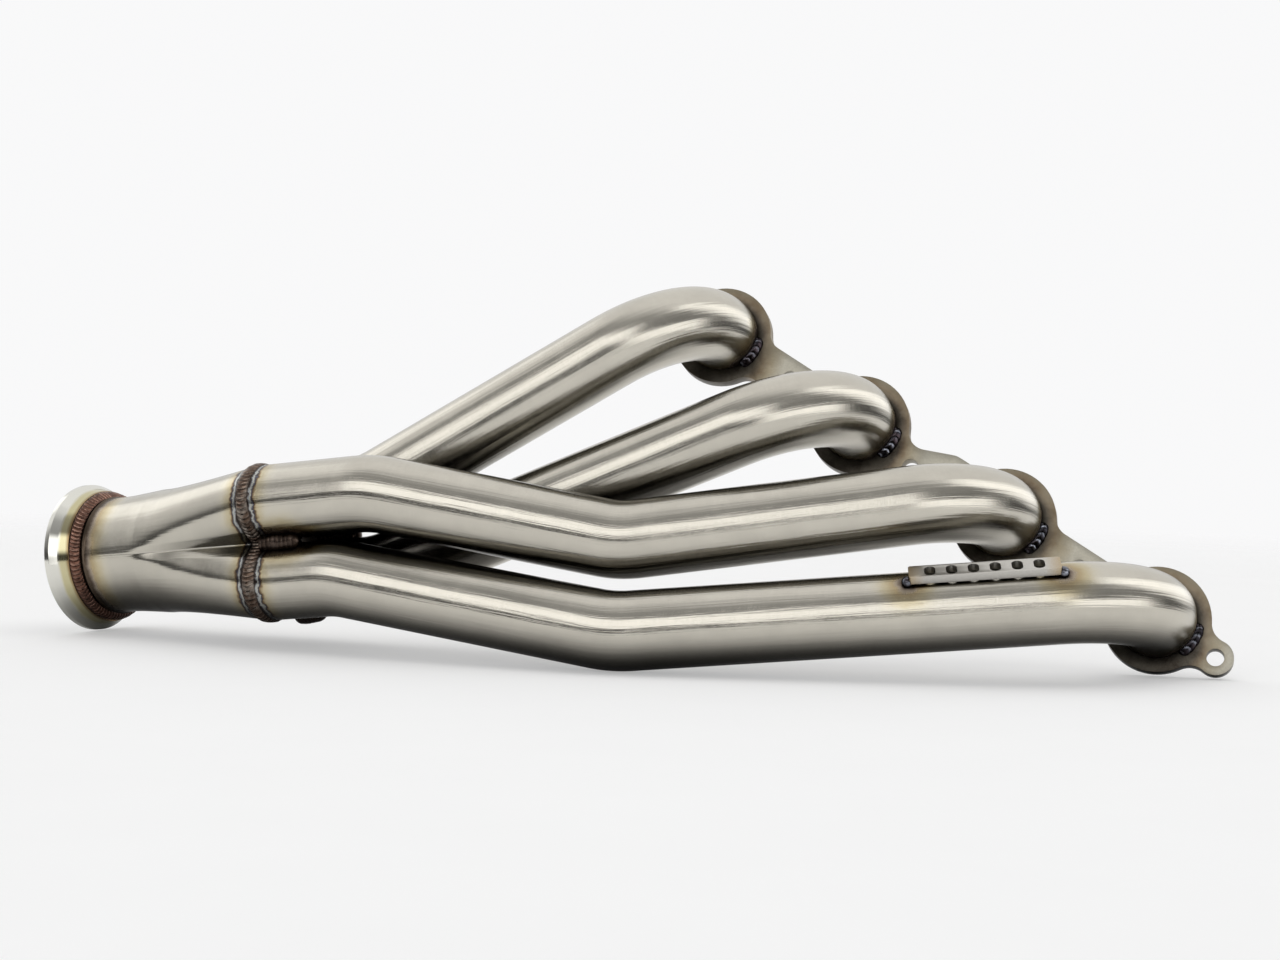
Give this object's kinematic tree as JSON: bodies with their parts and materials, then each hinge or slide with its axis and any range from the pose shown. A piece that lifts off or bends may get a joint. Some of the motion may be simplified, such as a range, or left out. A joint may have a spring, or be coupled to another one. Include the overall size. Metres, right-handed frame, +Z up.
{
  "type": "exhaust manifold",
  "caption": "Tubular exhaust manifold: bent primary tubes run from a webbed port flange into a merge collector with a clamp-ring outlet flange.",
  "frame": {"origin": "middle of the footprint, on the surface that the manifold lies on", "axes": "+Z up, +X from the outlet towards the port flange, lying as it rests on a bench: on the outlet flange, primary tube 4 and the lowest port of the head flange"},
  "size_m": [0.7305, 0.2258, 0.2355],
  "materials": {
    "tube_steel": "brushed stainless tube with a soft satin sheen and straw tint near the welds",
    "flange_steel": "laser-cut stainless plate, blasted, with brown heat tint round the ports",
    "collector_steel": "brushed formed stainless sheet",
    "weld_bronze": "rippled weld bead, bronze to dark brown oxide",
    "polished_steel": "machined and polished stainless",
    "plate_steel": "laser-cut stainless strip"
  },
  "bodies": {
    "root": {"head_flange": "flange_steel", "primary_tube_1": "tube_steel", "primary_tube_2": "tube_steel", "primary_tube_3": "tube_steel", "primary_tube_4": "tube_steel", "port_stitch_weld_1": "weld_bronze", "port_stitch_weld_2": "weld_bronze", "port_stitch_weld_3": "weld_bronze", "port_stitch_weld_4": "weld_bronze", "port_inner_weld_1": "weld_bronze", "port_inner_weld_2": "weld_bronze", "port_inner_weld_3": "weld_bronze", "port_inner_weld_4": "weld_bronze", "collector_body": "collector_steel", "merge_spike": "collector_steel", "collector_inlet_weld": "weld_bronze", "crotch_weld_near": "weld_bronze", "crotch_weld_top": "weld_bronze", "crotch_weld_far": "weld_bronze", "crotch_weld_bottom": "weld_bronze", "vband_flange": "polished_steel", "vband_weld": "weld_bronze", "nameplate": "plate_steel", "nameplate_tack_port_end": "weld_bronze", "nameplate_tack_collector_end": "weld_bronze"}
  },
  "joints": []
}
